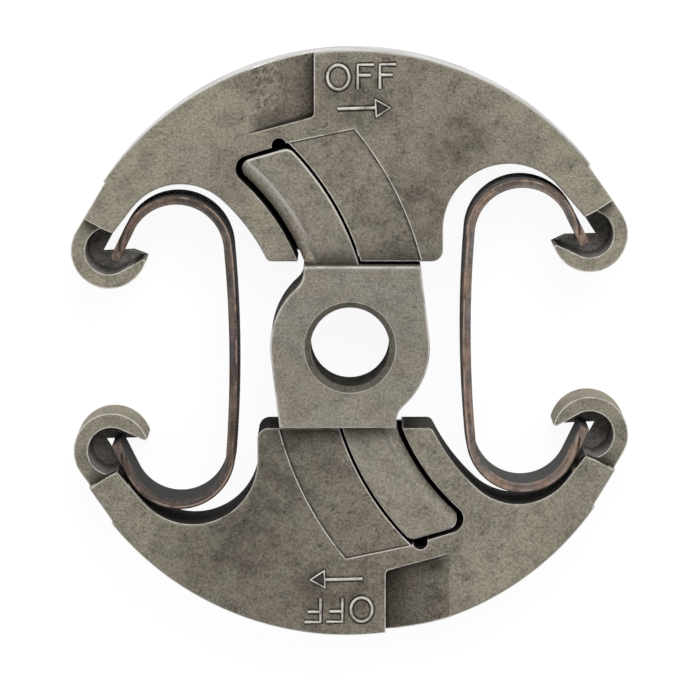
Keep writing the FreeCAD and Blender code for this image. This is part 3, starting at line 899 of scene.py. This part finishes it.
# The copied shading directions fit only the plain hub, so Blender works out new ones.
hub_mesh.attributes.remove(hub_mesh.attributes["custom_normal"])
hub_mesh.shade_smooth()
hub_mesh.set_sharp_from_angle(angle=SHARP_ANGLE)
hub_mesh.materials.append(hub_steel)
threaded_hub = bpy.data.objects.new("threaded_hub", hub_mesh)
scene.collection.objects.link(threaded_hub)
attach(threaded_hub, "hub")
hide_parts("hub")
print("threaded hub:", len(hub_mesh.polygons), "faces")

# %% [markdown]
# The raised signs
#
# Each shoe carries the word OFF and an arrow, which tell a mechanic that the left-hand thread comes off
# clockwise. They were engraved in the pressing die, so they stand up from the face as thin rounded
# ridges. A text object would bring the flat shapes of a typeface; a few strokes drawn as bevelled curves
# give the plain stick letters of a die sinker, half sunk in the face so that only the rounded tops show.

# %% Strokes of the stick letters
LETTER_HEIGHT = 2.8
O_WIDTH = 2.5
O_CENTRE = (-1.34, 30.95)
O_POINTS = 36
F_WIDTH = 1.87
F_BAR_HEIGHT = 0.57 * LETTER_HEIGHT
F_BAR_WIDTH = 0.8 * F_WIDTH
F_FEET = ((0.89, 29.58), (3.43, 29.62))
ARROW_SHAFT = [(-1.44, 27.32), (2.9, 27.44)]
ARROW_HEAD = [(4.62, 27.45), (2.9, 28.38), (3.02, 26.4)]


def letter_o(centre, half_width, half_height):
    """Return the closed stroke of a letter O."""
    turns = [math.tau * step / O_POINTS for step in range(O_POINTS)]
    return [(centre[0] + half_width * math.cos(t), centre[1] + half_height * math.sin(t)) for t in turns]


def letter_f(left, base):
    """Return the two strokes of a letter F: its stem with the top, and its bar."""
    top = base + LETTER_HEIGHT
    bar = base + F_BAR_HEIGHT
    return [
        [(left, base), (left, top), (left + F_WIDTH, top)],
        [(left, bar), (left + F_BAR_WIDTH, bar)],
    ]


off_closed = [letter_o(O_CENTRE, O_WIDTH / 2, LETTER_HEIGHT / 2)]
off_open = [stroke for foot in F_FEET for stroke in letter_f(*foot)]
print("the word has", len(off_closed) + len(off_open), "strokes, and the arrow a shaft and a head")

# %% Raise the signs on both shoes
WORD_HALF_WIDTH = 0.19
ARROW_HALF_WIDTH = 0.20
FOOT_SPREAD = 0.17
FOOT_SQUASH = 0.06
BEAD_STEPS = 3


def bead(strokes, closed, half_width, squash, turned):
    """Return a mesh of rounded beads along strokes on a shoe's face, squashed in height."""
    curve = bpy.data.curves.new("bead", "CURVE")
    curve.dimensions = "3D"
    curve.bevel_depth = half_width * MM
    curve.bevel_resolution = BEAD_STEPS
    curve.use_fill_caps = True
    flip = -1.0 if turned else 1.0
    for stroke in strokes:
        line = curve.splines.new("POLY")
        line.points.add(len(stroke) - 1)
        line.use_cyclic_u = stroke in closed
        for spot, (x, y) in zip(line.points, stroke):
            spot.co = (flip * x * MM, flip * y * MM, 0.0, 1.0)
    holder = bpy.data.objects.new("bead", curve)
    mesh = bpy.data.meshes.new_from_object(holder)
    bpy.data.objects.remove(holder)
    for corner in mesh.vertices:
        corner.co.z = corner.co.z * squash + SHOE_HEIGHT * MM
    return mesh


def raised_sign(name, open_strokes, closed_strokes, half_width, turned, body, finish):
    """Make one sign: rounded ridges, each with a low foot that spreads into the face, for dust and painted shade.
    """
    strokes = open_strokes + closed_strokes
    joined = bmesh.new()
    joined.from_mesh(bead(strokes, closed_strokes, half_width, 1.0, turned))
    # The low foot carries the dust and painted shade round each sign.
    joined.from_mesh(bead(strokes, closed_strokes, half_width + FOOT_SPREAD, FOOT_SQUASH, turned))
    mesh = bpy.data.meshes.new(name)
    joined.to_mesh(mesh)
    joined.free()
    mesh.shade_smooth()
    mesh.materials.append(finish)
    sign = bpy.data.objects.new(name, mesh)
    scene.collection.objects.link(sign)
    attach(sign, body)
    print(name, "has", len(mesh.polygons), "faces")


for body, turned in (("upper_shoe", False), ("lower_shoe", True)):
    finish = finishes[body]
    raised_sign(body + "_off_word", off_open, off_closed, WORD_HALF_WIDTH, turned, body, finish)
    raised_sign(body + "_arrow", [ARROW_SHAFT], [ARROW_HEAD], ARROW_HALF_WIDTH, turned, body, finish)

# %% [markdown]
# A white table under soft light
#
# A product shot wants a background that is pure white and a shadow that is only a breath. If the table
# were merely bright, its light would wash out the steel. So the camera, and the reflections, see a table
# that glows white, less a little where it is shaded, while all other light sees plain white paper. Under
# the slots of the shoes no light arrives, so there the glow is turned off as well. From below the table
# is clear, like a sheet of glass, and shows the back of the clutch.

# %% Masks for the table
SLOT_RING = (24.8, 34.2)
SLOT_MOUTH = 9.9
SLOT_END = -14.4


def seen_mask(tree):
    """Return 1 for rays from the camera, and for rays that come by way of a reflection or glass."""
    path = Wire.node(tree, "ShaderNodeLightPath", {}, {}, "Is Camera Ray")
    outputs = path.socket.node.outputs
    return path + Wire(tree, outputs["Is Glossy Ray"]) + Wire(tree, outputs["Is Transmission Ray"])


def under_slot(tree, turned):
    """Return 1 on the part of the table that lies under one shoe's slot."""
    point = place(tree, turned)
    across, along = parts_of(point)[:2]
    ring = band(distance_from(point, GUIDE_CENTRE), *SLOT_RING, 0.1)
    return ring * rise(along, SLOT_MOUTH, SLOT_MOUTH + 0.3) * rise(across, SLOT_END, SLOT_END + 0.2)


print("the slots are", round(SLOT_RING[1] - SLOT_RING[0], 1), "mm wide on the table")

# %% Paper that glows for the camera
WHITE = (1.0, 1.0, 1.0, 1.0)
PAPER_WHITE = (0.85, 0.85, 0.85, 1.0)
SHADE_GREY = (0.12, 0.12, 0.12, 1.0)
SLOT_BLACK = (0.005, 0.005, 0.005, 1.0)
GLOW = 0.93

table_paper, tree = blank_finish("table_paper")
paper = Wire.node(tree, "ShaderNodeBsdfDiffuse", {}, {"Color": PAPER_WHITE})
shade = Wire.node(tree, "ShaderNodeBsdfDiffuse", {}, {"Color": SHADE_GREY})
glow = Wire.node(tree, "ShaderNodeEmission", {}, {"Color": WHITE, "Strength": GLOW})
shown = Wire.node(tree, "ShaderNodeAddShader", {}, {0: shade, 1: glow})
black = Wire.node(tree, "ShaderNodeBsdfDiffuse", {}, {"Color": SLOT_BLACK})
in_gap = under_slot(tree, False) + under_slot(tree, True)
shown = Wire.node(tree, "ShaderNodeMixShader", {}, {0: in_gap, 1: shown, 2: black})
surface = Wire.node(tree, "ShaderNodeMixShader", {}, {0: seen_mask(tree), 1: paper, 2: shown})
underside = Wire.node(tree, "ShaderNodeNewGeometry", {}, {}, "Backfacing")
clear = Wire.node(tree, "ShaderNodeBsdfTransparent", {}, {"Color": WHITE})
surface = Wire.node(tree, "ShaderNodeMixShader", {}, {0: underside, 1: surface, 2: clear})
Wire.node(tree, "ShaderNodeOutputMaterial", {}, {"Surface": surface})
print("table paper made with", len(tree.nodes), "nodes")

# %% Lay the table
TABLE_HALF = 1.5
TABLE_LEVEL = -0.00005

corner_signs = ((-1, -1), (1, -1), (1, 1), (-1, 1))
table_corners = [(x * TABLE_HALF, y * TABLE_HALF, TABLE_LEVEL) for x, y in corner_signs]
table_mesh = bpy.data.meshes.new("table")
table_mesh.from_pydata(table_corners, [], [(0, 1, 2, 3)])
table_mesh.materials.append(table_paper)
table = bpy.data.objects.new("table", table_mesh)
scene.collection.objects.link(table)
print("table:", 2 * TABLE_HALF, "m square")

# %% [markdown]
# Soft studio light
#
# Steel needs something large and pale to mirror, or it turns black. We use a pale surround for the fill, a
# large soft box that leans in from the top of the picture, and a smaller one at the left.

# %% The surround
SURROUND = 0.29

world = bpy.data.worlds.new("surround")
scene.world = world
world.use_nodes = True
world.node_tree.nodes.clear()
sky = coat(seen_mask(world.node_tree), (SURROUND, SURROUND, SURROUND, 1.0), WHITE)
backdrop = Wire.node(world.node_tree, "ShaderNodeBackground", {}, {"Color": sky, "Strength": 1.0})
Wire.node(world.node_tree, "ShaderNodeOutputWorld", {}, {"Surface": backdrop})
print("the surround lights the clutch with a grey of", SURROUND)

# %% The soft boxes
def soft_box(name, place_m, size_m, power):
    """Hang a square lamp that points at the clutch."""
    lamp = bpy.data.lights.new(name, "AREA")
    lamp.shape = "SQUARE"
    lamp.size = size_m
    lamp.energy = power
    holder = bpy.data.objects.new(name, lamp)
    holder.location = place_m
    toward = -holder.location
    holder.rotation_euler = toward.to_track_quat("-Z", "Y").to_euler()
    scene.collection.objects.link(holder)
    print(name, "of", power, "W at", place_m)


soft_box("soft_box_top", place_m=(0.12, 0.40, 0.58), size_m=0.45, power=3.1)
soft_box("soft_box_left", place_m=(-0.5, 0.1, 0.45), size_m=0.3, power=0.6)

# %% [markdown]
# The camera
#
# The picture is taken almost straight down, from a point a little towards its top, so that the walls
# which face that way just show. A shifted lens on a camera that looks straight down would give nearly
# the same view, but a camera that leans by a few degrees also serves for views from other sides.

# %% Aim the camera
CAMERA_PLACE = (0.0, 0.0608, 0.5305)
CAMERA_LEAN = math.radians(6.73)
CAMERA_LENS = 233.1
SENSOR_WIDTH = 36.0

camera_data = bpy.data.cameras.new("camera")
camera_data.sensor_width = SENSOR_WIDTH
camera_data.lens = CAMERA_LENS
camera = bpy.data.objects.new("camera", camera_data)
camera.location = CAMERA_PLACE
camera.rotation_euler = (-CAMERA_LEAN, 0.0, 0.0)
scene.collection.objects.link(camera)
scene.camera = camera
scene.view_settings.view_transform = "Standard"
print("camera at", CAMERA_PLACE, "with a lens of", CAMERA_LENS, "mm")
